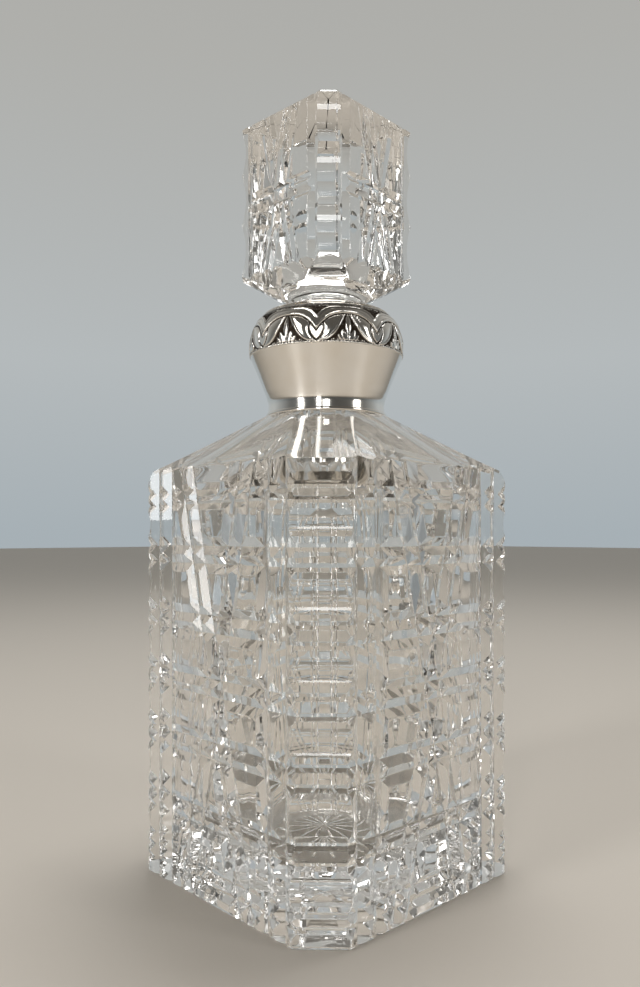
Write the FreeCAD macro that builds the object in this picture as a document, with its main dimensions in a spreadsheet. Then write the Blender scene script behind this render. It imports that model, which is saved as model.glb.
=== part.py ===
import FreeCAD, Part
import math
import os

import Sketcher
from FreeCAD import Placement, Rotation, Vector

# Square cut-crystal decanter with a silver collar and a lift-off ground stopper.
# Millimetres. Origin: centre of the base, on the surface it stands on. +Z up.
# The four cut faces are square to X and Y, and the four corners are chamfered.

doc = FreeCAD.newDocument("SquareDecanter")
sheet = doc.addObject("Spreadsheet::Sheet", "Dimensions")

DIMENSIONS = [
    # bottle walls
    ("side_width", 95.6), ("corner_leg", 11.6), ("wall_top", 133.6), ("base_bevel", 1.4),
    # horizontal double mitres that run right round the bottle
    ("belt_mid", 66.0), ("belt_step_a", 19.3), ("belt_step_b", 40.5), ("belt_step_end", 58.4),
    ("belt_pitch", 5.5), ("belt_depth", 1.3), ("end_pitch", 4.2), ("end_depth", 1.0),
    ("belt_corner_depth", 0.7), ("belt_corner_half", 1.15), ("end_corner_depth", 0.55), ("end_corner_half", 0.9),
    ("corner_hollow", 0.75),
    # the top of each chamfer leans in before the shoulder starts
    ("lean_height", 3.6), ("shoulder_leg", 14.4),
    # upright double mitres beside each corner, and the crossed pairs on each face
    ("upright_near", 4.1), ("upright_far", 11.75), ("upright_half", 3.3), ("upright_depth", 1.7),
    ("cross_top", 15.25), ("cross_offset", 3.25), ("cross_half", 2.75), ("cross_depth", 1.29),
    # star cut under the base
    ("star_radius", 24.0), ("star_half", 1.6), ("star_depth", 0.7), ("star_lines", 8),
    # shoulder, neck and the ground seat
    ("shoulder_top", 152.2), ("shoulder_radius", 21.4), ("neck_radius", 17.6), ("neck_top", 186.4),
    ("seat_bottom", 157.0), ("seat_radius_top", 12.15), ("seat_radius_bottom", 10.9),
    # cavity
    ("cavity_floor", 16.0), ("cavity_half", 37.0), ("cavity_corner", 22.0), ("cavity_wall_top", 126.0),
    ("cavity_throat", 150.0), ("cavity_throat_radius", 12.6), ("cavity_fillet", 7.0),
    # stopper
    ("stop_side", 44.6), ("stop_leg", 4.2), ("stop_bottom", 199.6), ("stop_top", 250.0), ("stop_turn", 3.0),
    ("stop_under_z", 194.4), ("stop_under_radius", 18.2), ("stop_waist_z", 190.4), ("stop_waist_radius", 12.4),
    ("stop_edge_bevel", 0.8), ("shank_end", 160.0), ("seat_clearance", 0.12),
    ("stop_upright_at", 2.95), ("stop_upright_half", 2.4), ("stop_upright_depth", 1.2),
    ("stop_cross_offset", 2.2), ("stop_cross_half", 1.45), ("stop_cross_depth", 0.7),
    ("stop_belt_z", 222.8), ("stop_belt_pitch", 4.4), ("stop_belt_half", 1.65), ("stop_belt_depth", 0.8), ("stop_hollow", 1.35),
    # silver collar
    ("foot_bottom", 152.2), ("foot_top", 153.7), ("foot_inner", 19.0), ("foot_outer", 20.6),
    ("skirt_low_z", 156.6), ("skirt_low_radius", 19.8), ("skirt_mid_z", 161.8), ("skirt_mid_radius", 21.4),
    ("skirt_high_z", 167.5), ("skirt_high_radius", 23.7), ("skirt_top_z", 172.6), ("skirt_top_radius", 25.9),
    ("sheet_thick", 0.8),
    ("band_bulge_z", 177.6), ("band_bulge_radius", 26.3), ("band_top_z", 186.4), ("band_top_radius", 21.6),
    ("lip_crest_z", 188.3), ("lip_inner_radius", 13.1),
]
for number, (alias, value) in enumerate(DIMENSIONS, start=1):
    sheet.set("A%d" % number, alias.replace("_", " "))
    sheet.set("B%d" % number, str(value))
    sheet.setAlias("B%d" % number, alias)
doc.recompute()

D = {alias: float(getattr(sheet, alias)) for alias, _ in DIMENSIONS}


def link(obj, prop, expression):
    """Binds a property to the sheet: names of cells in the expression are written as [name]."""
    obj.setExpression(prop, expression.replace("[", "<<Dimensions>>.").replace("]", ""))


def value_of(expression):
    """Works out the same expression in plain numbers, for a sketch's first guess: sums of cells and numbers only."""
    total = 0.0
    for term in expression.replace("-", "+-").split("+"):
        term = term.strip()
        if not term:
            continue
        sign = 1.0
        if term.startswith("-"):
            sign, term = -1.0, term[1:].strip()
        product = 1.0
        for k, factor in enumerate(term.replace("/", "*/").split("*")):
            factor = factor.strip()
            divide = factor.startswith("/")
            factor = factor.lstrip("/").strip()
            number = D[factor[1:-1]] if factor.startswith("[") else float(factor)
            product = product / number if divide else product * number
        total += sign * product
    return total


def plane_of(body, role):
    for feature in body.Origin.OriginFeatures:
        if feature.Role == role:
            return feature


def outline_sketch(body, name, role, corners, offset=None):
    """A closed outline of straight lines. Every corner's two coordinates are driven by the sheet."""
    sketch = body.newObject("Sketcher::SketchObject", name)
    sketch.AttachmentSupport = [(plane_of(body, role), "")]
    sketch.MapMode = "FlatFace"
    if offset:
        sketch.AttachmentOffset = Placement(Vector(0, 0, value_of(offset)), Rotation())
        link(sketch, "AttachmentOffset.Base.z", offset)
    points = [Vector(value_of(a), value_of(b), 0) for a, b in corners]
    count = len(points)
    for i in range(count):
        sketch.addGeometry(Part.LineSegment(points[i], points[(i + 1) % count]), False)
    for i in range(count):
        sketch.addConstraint(Sketcher.Constraint("Coincident", i, 2, (i + 1) % count, 1))
    for i, (a, b) in enumerate(corners):
        for kind, expression in (("DistanceX", a), ("DistanceY", b)):
            if abs(value_of(expression)) < 1e-9:
                sketch.addConstraint(Sketcher.Constraint("PointOnObject", i, 1, -2 if kind == "DistanceX" else -1))
                continue
            index = sketch.addConstraint(Sketcher.Constraint(kind, -1, 1, i, 1, value_of(expression)))
            sketch.setExpression("Constraints[%d]" % index, expression.replace("[", "<<Dimensions>>.").replace("]", ""))
    return sketch


def circle_sketch(body, name, radius, offset):
    """A circle of eight equal arcs, so that it lofts cleanly from an eight-sided outline."""
    sketch = body.newObject("Sketcher::SketchObject", name)
    sketch.AttachmentSupport = [(plane_of(body, "XY_Plane"), "")]
    sketch.MapMode = "FlatFace"
    sketch.AttachmentOffset = Placement(Vector(0, 0, value_of(offset)), Rotation())
    link(sketch, "AttachmentOffset.Base.z", offset)
    r = value_of(radius)
    for i in range(8):
        start = math.radians(45 * i - 67.5)
        arc = Part.ArcOfCircle(Part.Circle(Vector(0, 0, 0), Vector(0, 0, 1), r), start, start + math.radians(45))
        sketch.addGeometry(arc, False)
    for i in range(8):
        sketch.addConstraint(Sketcher.Constraint("Coincident", i, 2, (i + 1) % 8, 1))
    for i in range(7):
        sketch.addConstraint(Sketcher.Constraint("Coincident", i, 3, -1, 1))
    sketch.addConstraint(Sketcher.Constraint("Equal", 0, 7))
    index = sketch.addConstraint(Sketcher.Constraint("Radius", 0, r))
    sketch.setExpression("Constraints[%d]" % index, radius.replace("[", "<<Dimensions>>.").replace("]", ""))
    return sketch


def lathe(name, corners):
    """A full turn of an outline about Z. Corners are (radius, height) pairs in the XZ plane."""
    body = doc.addObject("PartDesign::Body", name)
    body.Label = name
    sketch = outline_sketch(body, name + "_profile", "XZ_Plane", corners)
    turn = body.newObject("PartDesign::Revolution", name + "_turn")
    turn.Profile = sketch
    turn.ReferenceAxis = (sketch, ["V_Axis"])
    turn.Angle = 360.0
    sketch.Visibility = False
    body.Tip = turn
    return body


def octagon(half, leg, face_in, corner_in, height):
    """Corners of the chamfered square, with the flats and the chamfers each set in by their own amount."""
    reach = (half - face_in)
    diagonal = half * math.sqrt(2) - leg / math.sqrt(2) - corner_in
    other = diagonal * math.sqrt(2) - reach
    ring = [(reach, other), (other, reach), (-other, reach), (-reach, other),
            (-reach, -other), (-other, -reach), (other, -reach), (reach, -other)]
    return [Vector(x, y, height) for x, y in ring]


def stacked_solid(levels, half, leg):
    """A closed solid of plane facets through a stack of chamfered squares: (height, flat inset, chamfer inset)."""
    rings = [octagon(half, leg, face_in, corner_in, height) for height, face_in, corner_in in levels]
    faces = [Part.Face(Part.makePolygon(list(reversed(rings[0])) + [rings[0][-1]]))]
    for low, high in zip(rings[:-1], rings[1:]):
        for i in range(8):
            j = (i + 1) % 8
            faces.append(Part.Face(Part.makePolygon([low[i], low[j], high[j], high[i], low[i]])))
    faces.append(Part.Face(Part.makePolygon(rings[-1] + [rings[-1][0]])))
    shell = Part.makeShell(faces)
    shell.sewShape()
    solid = Part.makeSolid(shell)
    if solid.Volume < 0:
        solid.reverse()
    return solid


def vee(start, end, outward, depth, half_width, above=2.0):
    """The solid that a V-shaped wheel removes: valley line from start to end at the given depth under a plane."""
    along = (end - start).normalize()
    side = outward.cross(along).normalize()
    reach = half_width * (depth + above) / depth
    wire = Part.makePolygon([
        start - outward * depth, start + outward * above + side * reach,
        start + outward * above - side * reach, start - outward * depth])
    return Part.Face(wire).extrude(end - start)


def feature(name, shape):
    obj = doc.addObject("Part::Feature", name)
    obj.Label = name
    obj.Shape = shape
    obj.Placement = Placement()
    return obj


# ------------------------------------------------------------------ glass body
half_side = D["side_width"] / 2
belt_size = (D["belt_pitch"], D["belt_depth"], D["belt_corner_depth"], D["belt_corner_half"])
end_size = (D["end_pitch"], D["end_depth"], D["end_corner_depth"], D["end_corner_half"])
belts = [(D["belt_mid"] - D["belt_step_end"], *end_size)]
belts += [(D["belt_mid"] - D[k], *belt_size) for k in ("belt_step_b", "belt_step_a")]
belts += [(D["belt_mid"], *belt_size)]
belts += [(D["belt_mid"] + D[k], *belt_size) for k in ("belt_step_a", "belt_step_b")]
belts += [(D["belt_mid"] + D["belt_step_end"], *end_size)]

levels = [(0.0, D["base_bevel"] * 0.8, D["base_bevel"] * 0.8), (D["base_bevel"], 0.0, 0.0)]
for index, (centre, pitch, depth, corner_depth, corner_half) in enumerate(belts):
    if index:
        # the chamfer is ground gently hollow between two belts
        before = levels[-1][0]
        after = centre - pitch
        for part, share in ((0.25, 0.75), (0.5, 1.0), (0.75, 0.75)):
            levels.append((before + (after - before) * part, 0.0, D["corner_hollow"] * share))
    # each belt is two V grooves, wide on the faces and narrow where they cross the chamfer
    beside = depth * (1 - corner_half / (pitch / 2))
    levels.append((centre - pitch, 0.0, 0.0))
    for groove in (centre - pitch / 2, centre + pitch / 2):
        levels.append((groove - corner_half, beside, 0.0))
        levels.append((groove, depth, corner_depth))
        levels.append((groove + corner_half, beside, 0.0))
        levels.append((groove + pitch / 2, 0.0, 0.0))
levels.append((D["wall_top"] - D["lean_height"], 0.0, 0.0))
levels.append((D["wall_top"], 0.0, (D["shoulder_leg"] - D["corner_leg"]) / math.sqrt(2)))
walls = feature("belted_walls", stacked_solid(levels, half_side, D["corner_leg"]))

# shoulder: eight-sided outline blended up to the round foot of the neck
shoulder = doc.addObject("PartDesign::Body", "shoulder_blank")
flat = "[side_width]/2"
edge = "[side_width]/2 - [shoulder_leg]"
octagon_corners = [
    (flat, "-[side_width]/2 + [shoulder_leg]"), (flat, edge), (edge, flat),
    ("-[side_width]/2 + [shoulder_leg]", flat), ("-[side_width]/2", edge),
    ("-[side_width]/2", "-[side_width]/2 + [shoulder_leg]"),
    ("-[side_width]/2 + [shoulder_leg]", "-[side_width]/2"), (edge, "-[side_width]/2")]
shoulder_low = outline_sketch(shoulder, "shoulder_low", "XY_Plane", octagon_corners, "[wall_top]")
shoulder_high = circle_sketch(shoulder, "shoulder_high", "[shoulder_radius]", "[shoulder_top]")
shoulder_loft = shoulder.newObject("PartDesign::AdditiveLoft", "shoulder_loft")
shoulder_loft.Profile = shoulder_low
shoulder_loft.Sections = [shoulder_high]
shoulder_loft.Ruled = True
shoulder.Tip = shoulder_loft
doc.recompute()

neck = doc.addObject("Part::Cylinder", "neck_blank")
link(neck, "Radius", "[neck_radius]")
link(neck, "Height", "[neck_top] - [shoulder_top] + 2")
link(neck, "Placement.Base.z", "[shoulder_top] - 2")

# inside: a rounded square hollow that gathers into the round throat
hollow = doc.addObject("PartDesign::Body", "hollow_blank")


def rounded_square(body, name, offset):
    sketch = body.newObject("Sketcher::SketchObject", name)
    sketch.AttachmentSupport = [(plane_of(body, "XY_Plane"), "")]
    sketch.MapMode = "FlatFace"
    sketch.AttachmentOffset = Placement(Vector(0, 0, value_of(offset)), Rotation())
    link(sketch, "AttachmentOffset.Base.z", offset)
    a, r = D["cavity_half"], D["cavity_corner"]
    b = a - r
    spots = [Vector(a, -b, 0), Vector(a, b, 0), Vector(b, a, 0), Vector(-b, a, 0),
             Vector(-a, b, 0), Vector(-a, -b, 0), Vector(-b, -a, 0), Vector(b, -a, 0)]
    centres = [Vector(b, b, 0), Vector(-b, b, 0), Vector(-b, -b, 0), Vector(b, -b, 0)]
    for i in range(4):
        sketch.addGeometry(Part.LineSegment(spots[2 * i], spots[2 * i + 1]), False)
        sketch.addGeometry(Part.ArcOfCircle(
            Part.Circle(centres[i], Vector(0, 0, 1), r), math.radians(90 * i), math.radians(90 * i + 90)), False)
    for i in range(8):
        sketch.addConstraint(Sketcher.Constraint("Tangent", i, 2, (i + 1) % 8, 1))
    for i in (0, 4):
        sketch.addConstraint(Sketcher.Constraint("Vertical", i))
    for i in (2, 6):
        sketch.addConstraint(Sketcher.Constraint("Horizontal", i))
    for i in (3, 5, 7):
        sketch.addConstraint(Sketcher.Constraint("Equal", 1, i))
    for kind, line, way in (("DistanceX", 0, ""), ("DistanceY", 2, ""), ("DistanceX", 4, "-"), ("DistanceY", 6, "-")):
        reach = sketch.addConstraint(Sketcher.Constraint(kind, -1, 1, line, 1, -a if way else a))
        sketch.setExpression("Constraints[%d]" % reach, way + "<<Dimensions>>.cavity_half")
    bend = sketch.addConstraint(Sketcher.Constraint("Radius", 1, r))
    sketch.setExpression("Constraints[%d]" % bend, "<<Dimensions>>.cavity_corner")
    return sketch


hollow_floor = rounded_square(hollow, "hollow_floor", "[cavity_floor]")
doc.recompute()
hollow_pad = hollow.newObject("PartDesign::Pad", "hollow_pad")
hollow_pad.Profile = hollow_floor
link(hollow_pad, "Length", "[cavity_wall_top] - [cavity_floor]")
doc.recompute()
floor_edges = ["Edge%d" % (i + 1) for i, e in enumerate(hollow_pad.Shape.Edges)
               if all(abs(v.Z - D["cavity_floor"]) < 1e-6 for v in e.Vertexes)]
hollow_round = hollow.newObject("PartDesign::Fillet", "hollow_round")
hollow_round.Base = (hollow_pad, floor_edges)
link(hollow_round, "Radius", "[cavity_fillet]")
doc.recompute()
hollow_low = rounded_square(hollow, "hollow_low", "[cavity_wall_top]")
hollow_high = circle_sketch(hollow, "hollow_high", "[cavity_throat_radius]", "[cavity_throat]")
hollow_loft = hollow.newObject("PartDesign::AdditiveLoft", "hollow_loft")
hollow_loft.Profile = hollow_low
hollow_loft.Sections = [hollow_high]
hollow_loft.Ruled = True
hollow.Tip = hollow_loft
doc.recompute()

throat = doc.addObject("Part::Cone", "throat_blank")
link(throat, "Radius1", "[cavity_throat_radius]")
link(throat, "Radius2", "[seat_radius_bottom]")
link(throat, "Height", "[seat_bottom] - [cavity_throat]")
link(throat, "Placement.Base.z", "[cavity_throat]")
seat = doc.addObject("Part::Cone", "seat_blank")
link(seat, "Radius1", "[seat_radius_bottom]")
link(seat, "Radius2", "[seat_radius_top]")
link(seat, "Height", "[neck_top] - [seat_bottom]")
link(seat, "Placement.Base.z", "[seat_bottom]")

outside = doc.addObject("Part::MultiFuse", "bottle_outside")
outside.Shapes = [walls, shoulder, neck]
inside = doc.addObject("Part::MultiFuse", "bottle_inside")
inside.Shapes = [hollow, throat, seat]
bottle = doc.addObject("Part::Cut", "bottle_uncut")
bottle.Base = outside
bottle.Tool = inside
doc.recompute()

# V cuts: an upright pair at each side of each face, and two crossed pairs over the face
cuts = []
low_z, high_z = -6.0, D["wall_top"] + 5.0
for quarter in range(4):
    turn = Rotation(Vector(0, 0, 1), 90.0 * quarter)
    outward = turn.multVec(Vector(0, -1, 0))
    across = turn.multVec(Vector(1, 0, 0))

    def on_face(u, z):
        return outward * half_side + across * u + Vector(0, 0, z)

    edge_u = half_side - D["corner_leg"]
    for sign in (-1, 1):
        for inset in (D["upright_near"], D["upright_far"]):
            u = sign * (edge_u - inset)
            cuts.append(vee(on_face(u, low_z), on_face(u, high_z), outward, D["upright_depth"], D["upright_half"]))
        for offset in (-D["cross_offset"], D["cross_offset"]):
            top_u = sign * D["cross_top"] + offset
            bottom_u = -sign * D["cross_top"] + offset
            slope = (top_u - bottom_u) / D["wall_top"]
            cuts.append(vee(on_face(bottom_u + slope * low_z, low_z), on_face(bottom_u + slope * high_z, high_z),
                            outward, D["cross_depth"], D["cross_half"]))
down = Vector(0, 0, -1)
for line in range(int(D["star_lines"])):
    angle = math.radians(180.0 * (line + 0.5) / D["star_lines"])
    tip = Vector(math.cos(angle), math.sin(angle), 0) * D["star_radius"]
    cuts.append(vee(tip * -1, tip, down, D["star_depth"], D["star_half"]))
glass_body = feature("glass_body", bottle.Shape.cut(cuts))

# --------------------------------------------------------------------- stopper
stop_half = D["stop_side"] / 2
rise = D["stop_top"] - D["stop_bottom"]
bevel = D["stop_edge_bevel"]
ridges = [D["stop_bottom"] + bevel, D["stop_bottom"] + rise * 0.345, D["stop_bottom"] + rise * 0.68, D["stop_top"] - bevel]
head_levels = [(D["stop_bottom"], 0.0, 0.0), (ridges[0], 0.0, 0.0)]
for before, after in zip(ridges[:-1], ridges[1:]):
    for part, share in ((0.15, 0.55), (0.35, 0.95), (0.5, 1.0), (0.65, 0.95), (0.85, 0.55)):
        head_levels.append((before + (after - before) * part, 0.0, D["stop_hollow"] * share))
    head_levels.append((after, 0.0, 0.0))
head_levels.append((D["stop_top"], bevel, bevel))
head = stacked_solid(head_levels, stop_half, D["stop_leg"])

under = doc.addObject("PartDesign::Body", "stopper_under_blank")
stop_flat = "[stop_side]/2"
stop_edge = "[stop_side]/2 - [stop_leg]"
stop_corners = [
    (stop_flat, "-[stop_side]/2 + [stop_leg]"), (stop_flat, stop_edge), (stop_edge, stop_flat),
    ("-[stop_side]/2 + [stop_leg]", stop_flat), ("-[stop_side]/2", stop_edge),
    ("-[stop_side]/2", "-[stop_side]/2 + [stop_leg]"),
    ("-[stop_side]/2 + [stop_leg]", "-[stop_side]/2"), (stop_edge, "-[stop_side]/2")]
under_high = outline_sketch(under, "under_high", "XY_Plane", stop_corners, "[stop_bottom]")
under_low = circle_sketch(under, "under_low", "[stop_under_radius]", "[stop_under_z]")
under_loft = under.newObject("PartDesign::AdditiveLoft", "under_loft")
under_loft.Profile = under_high
under_loft.Sections = [under_low]
under_loft.Ruled = True
under.Tip = under_loft

shank = lathe("stopper_shank_blank", [
    ("0", "[shank_end]"),
    ("[seat_radius_bottom] - [seat_clearance] - 0.9", "[shank_end]"),
    ("[seat_radius_bottom] - [seat_clearance] + 0.12", "[shank_end] + 1.2"),
    ("[seat_radius_top] - [seat_clearance]", "[neck_top]"),
    ("[stop_waist_radius] - 0.2", "[neck_top] + 2"),
    ("[stop_waist_radius]", "[stop_waist_z]"),
    ("[stop_waist_radius] + 2.1", "[stop_waist_z] + 2.2"),
    ("[stop_under_radius]", "[stop_under_z]"),
    ("0", "[stop_under_z]")])
doc.recompute()

stop_cuts = []
for quarter in range(4):
    turn = Rotation(Vector(0, 0, 1), 90.0 * quarter)
    outward = turn.multVec(Vector(0, -1, 0))
    across = turn.multVec(Vector(1, 0, 0))

    def on_head(u, z):
        return outward * stop_half + across * u + Vector(0, 0, z)

    bottom_z, top_z = D["stop_bottom"] - 3.0, D["stop_top"] + 3.0
    for sign in (-1, 1):
        u = sign * (stop_half - D["stop_leg"] - D["stop_upright_at"])
        stop_cuts.append(vee(on_head(u, bottom_z), on_head(u, top_z), outward,
                             D["stop_upright_depth"], D["stop_upright_half"]))
        for offset in (-D["stop_cross_offset"], D["stop_cross_offset"]):
            stop_cuts.append(vee(on_head(-sign * 6.6 + offset, bottom_z), on_head(sign * 6.6 + offset, top_z), outward,
                                 D["stop_cross_depth"], D["stop_cross_half"]))
    for shift in (-0.5, 0.5):
        z = D["stop_belt_z"] + shift * D["stop_belt_pitch"]
        reach = stop_half - D["stop_leg"] - 2 * D["stop_upright_at"] + 1.7
        stop_cuts.append(vee(on_head(-reach, z), on_head(reach, z), outward,
                             D["stop_belt_depth"], D["stop_belt_half"]))
stopper_shape = head.fuse([under.Shape, shank.Shape]).removeSplitter().cut(stop_cuts)
stopper_shape = stopper_shape.Solids[0] if len(stopper_shape.Solids) == 1 else stopper_shape
stopper = feature("stopper", stopper_shape)
stopper.Placement = Placement(Vector(0, 0, 0), Rotation(Vector(0, 0, 1), D["stop_turn"]))

# ---------------------------------------------------------------- silver collar
foot_wire = lathe("collar_foot_wire", [
    ("[foot_inner]", "[foot_bottom]"), ("[foot_outer] - 0.35", "[foot_bottom]"),
    ("[foot_outer]", "[foot_bottom] + 0.4"), ("[foot_outer]", "[foot_top] - 0.4"),
    ("[foot_outer] - 0.35", "[foot_top]"), ("[foot_inner]", "[foot_top]")])
skirt = lathe("collar_skirt", [
    ("[skirt_low_radius] + 0.1 - [sheet_thick]", "[foot_top]"), ("[skirt_low_radius] + 0.1", "[foot_top]"),
    ("[skirt_low_radius]", "[skirt_low_z]"),
    ("[skirt_low_radius] + 0.65", "[skirt_low_z] + 2.6"),
    ("[skirt_mid_radius]", "[skirt_mid_z]"),
    ("[skirt_high_radius]", "[skirt_high_z]"), ("[skirt_top_radius]", "[skirt_top_z]"),
    ("[skirt_top_radius] - [sheet_thick]", "[skirt_top_z]"),
    ("[skirt_high_radius] - [sheet_thick]", "[skirt_high_z]"),
    ("[skirt_mid_radius] - [sheet_thick]", "[skirt_mid_z]"),
    ("[skirt_low_radius] + 0.65 - [sheet_thick]", "[skirt_low_z] + 2.6"),
    ("[skirt_low_radius] - [sheet_thick]", "[skirt_low_z]")])
band = lathe("collar_band", [
    ("[skirt_top_radius] - [sheet_thick]", "[skirt_top_z]"), ("[skirt_top_radius] + 0.2", "[skirt_top_z]"),
    ("[band_bulge_radius]", "[skirt_top_z] + 0.8"),
    ("[band_bulge_radius]", "[band_bulge_z]"),
    ("[band_bulge_radius] - 0.8", "[band_bulge_z] + 3.2"),
    ("[band_bulge_radius] - 1.9", "[band_bulge_z] + 6"),
    ("[band_bulge_radius] - 3.1", "[band_bulge_z] + 7.6"),
    ("[band_top_radius]", "[band_top_z]"),
    ("[band_top_radius] - 1", "[band_top_z]"),
    ("[band_bulge_radius] - 4.2", "[band_bulge_z] + 7"),
    ("[band_bulge_radius] - 3.2", "[band_bulge_z] + 5.4"),
    ("[band_bulge_radius] - 2.2", "[band_bulge_z] + 2.8"),
    ("[band_bulge_radius] - 1.6", "[band_bulge_z] - 0.4"),
    ("[skirt_top_radius] - [sheet_thick]", "[skirt_top_z] + 1.4")])
lip = lathe("collar_lip", [
    ("[lip_inner_radius]", "[neck_top]"), ("[band_top_radius]", "[band_top_z]"),
    ("[band_top_radius] - 1.2", "[lip_crest_z] - 1.0"),
    ("[band_top_radius] - 2.6", "[lip_crest_z] - 0.4"),
    ("[lip_inner_radius] + 3.6", "[lip_crest_z]"),
    ("[lip_inner_radius] + 1.2", "[lip_crest_z]"),
    ("[lip_inner_radius]", "[lip_crest_z] - 0.7")])
bedding = lathe("bedding_plaster", [
    ("[neck_radius]", "[foot_top]"), ("[skirt_low_radius] + 0.1 - [sheet_thick]", "[foot_top]"),
    ("[skirt_low_radius] - [sheet_thick]", "[skirt_low_z]"),
    ("[skirt_low_radius] + 0.65 - [sheet_thick]", "[skirt_low_z] + 2.6"),
    ("[skirt_mid_radius] - [sheet_thick]", "[skirt_mid_z]"),
    ("[skirt_high_radius] - [sheet_thick]", "[skirt_high_z]"),
    ("[skirt_top_radius] - [sheet_thick]", "[skirt_top_z]"),
    ("[skirt_top_radius] - [sheet_thick]", "[skirt_top_z] + 1.4"),
    ("[band_bulge_radius] - 1.6", "[band_bulge_z] - 0.4"),
    ("[band_bulge_radius] - 2.2", "[band_bulge_z] + 2.8"),
    ("[band_bulge_radius] - 3.2", "[band_bulge_z] + 5.4"),
    ("[band_bulge_radius] - 4.2", "[band_bulge_z] + 7"),
    ("[band_top_radius] - 1", "[band_top_z]"),
    ("[neck_radius]", "[neck_top]")])

doc.recompute()

for obj in doc.Objects:
    if "Invalid" in obj.State or "Error" in obj.State:
        raise RuntimeError("%s failed: %s" % (obj.Name, obj.State))

NODES = [glass_body, stopper, foot_wire, skirt, band, lip, bedding]
os.makedirs("parts", exist_ok=True)
for obj in NODES:
    shape = obj.Shape
    if shape.isNull() or not shape.isValid():
        raise RuntimeError("%s has no valid shape" % obj.Label)
    if len(shape.Solids) != 1 or shape.Volume <= 0:
        raise RuntimeError("%s is %d solids, volume %g" % (obj.Label, len(shape.Solids), shape.Volume))
    box = shape.BoundBox
    print("%-18s faces %4d  volume %9.1f mm3  x %.2f..%.2f  y %.2f..%.2f  z %.2f..%.2f" % (
        obj.Label, len(shape.Faces), shape.Volume, box.XMin, box.XMax, box.YMin, box.YMax, box.ZMin, box.ZMax))
for obj in NODES:
    obj.Shape.exportStep("parts/%s.step" % obj.Label)
print("wrote", len(NODES), "sub-parts")
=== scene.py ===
import math

import bmesh
import bpy
import numpy as np
from mathutils import Matrix, Vector


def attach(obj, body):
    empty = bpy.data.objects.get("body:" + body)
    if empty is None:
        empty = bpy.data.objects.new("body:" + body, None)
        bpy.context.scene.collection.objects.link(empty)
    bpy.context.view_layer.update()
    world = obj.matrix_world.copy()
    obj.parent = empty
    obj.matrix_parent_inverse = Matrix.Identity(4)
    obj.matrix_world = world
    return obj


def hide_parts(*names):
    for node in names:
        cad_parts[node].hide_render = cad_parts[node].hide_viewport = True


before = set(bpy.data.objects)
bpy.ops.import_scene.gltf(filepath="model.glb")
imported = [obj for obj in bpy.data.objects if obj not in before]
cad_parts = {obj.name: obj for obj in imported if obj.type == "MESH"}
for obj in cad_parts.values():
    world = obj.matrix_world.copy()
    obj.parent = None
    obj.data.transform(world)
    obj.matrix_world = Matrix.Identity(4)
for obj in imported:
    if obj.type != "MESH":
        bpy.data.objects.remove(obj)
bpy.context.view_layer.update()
scene = bpy.context.scene
MM = 0.001

# ------------------------------------------------------------------ dimensions (mm), as in the CAD model
HALF = 47.8
LEG = 11.6
WALL_TOP = 133.6
WIDE_BELT, END_BELT = (5.5, 1.3, 0.7, 1.15), (4.2, 1.0, 0.55, 0.9)
BELTS = [(66.0 - 58.4, *END_BELT), (66.0 - 40.5, *WIDE_BELT), (66.0 - 19.3, *WIDE_BELT), (66.0, *WIDE_BELT),
         (66.0 + 19.3, *WIDE_BELT), (66.0 + 40.5, *WIDE_BELT), (66.0 + 58.4, *END_BELT)]
PER_SIDE = 24
HOLLOW = 0.75
LEAN_HEIGHT, SHOULDER_LEG = 3.6, 14.4
NEAR_AT, FAR_AT, UPRIGHT_HALF, UPRIGHT_DEPTH = 4.1, 11.75, 3.3, 1.70
CROSS_TOP, CROSS_OFFSET, CROSS_HALF, CROSS_DEPTH = 15.25, 3.25, 2.75, 1.29
STAR_RADIUS, STAR_HALF, STAR_DEPTH, STAR_LINES = 24.0, 1.6, 0.7, 8
CAVITY_HALF, CAVITY_CORNER = 37.0, 22.0


# ------------------------------------------------------------------ mesh helpers
def new_object(name, verts, faces):
    mesh = bpy.data.meshes.new(name)
    mesh.from_pydata([tuple(v) for v in verts], [], faces)
    mesh.validate()
    obj = bpy.data.objects.new(name, mesh)
    scene.collection.objects.link(obj)
    return obj


def rings_to_object(name, rings, closed_profile=False):
    """Joins rings of equal length into a closed skin. An open profile starts and ends in a capping point."""
    count = len(rings[0])
    verts = [p for ring in rings for p in ring]
    faces = []
    total = len(rings)
    spans = total if closed_profile else total - 1
    for a in range(spans):
        b = (a + 1) % total
        for i in range(count):
            j = (i + 1) % count
            faces.append((a * count + i, a * count + j, b * count + j, b * count + i))
    if not closed_profile:
        for ring_index, flip in ((0, True), (total - 1, False)):
            centre = len(verts)
            ring = rings[ring_index]
            verts.append((sum(p[0] for p in ring) / count, sum(p[1] for p in ring) / count, sum(p[2] for p in ring) / count))
            for i in range(count):
                j = (i + 1) % count
                base = ring_index * count
                faces.append((base + j, base + i, centre) if flip else (base + i, base + j, centre))
    obj = new_object(name, [(x * MM, y * MM, z * MM) for x, y, z in verts], faces)
    return obj


def octagon_corners(half, leg, face_in, corner_in):
    reach = half - face_in
    diagonal = half * math.sqrt(2) - leg / math.sqrt(2) - corner_in
    other = diagonal * math.sqrt(2) - reach
    return [(reach, -other), (reach, other), (other, reach), (-other, reach),
            (-reach, other), (-reach, -other), (-other, -reach), (other, -reach)]


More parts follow.
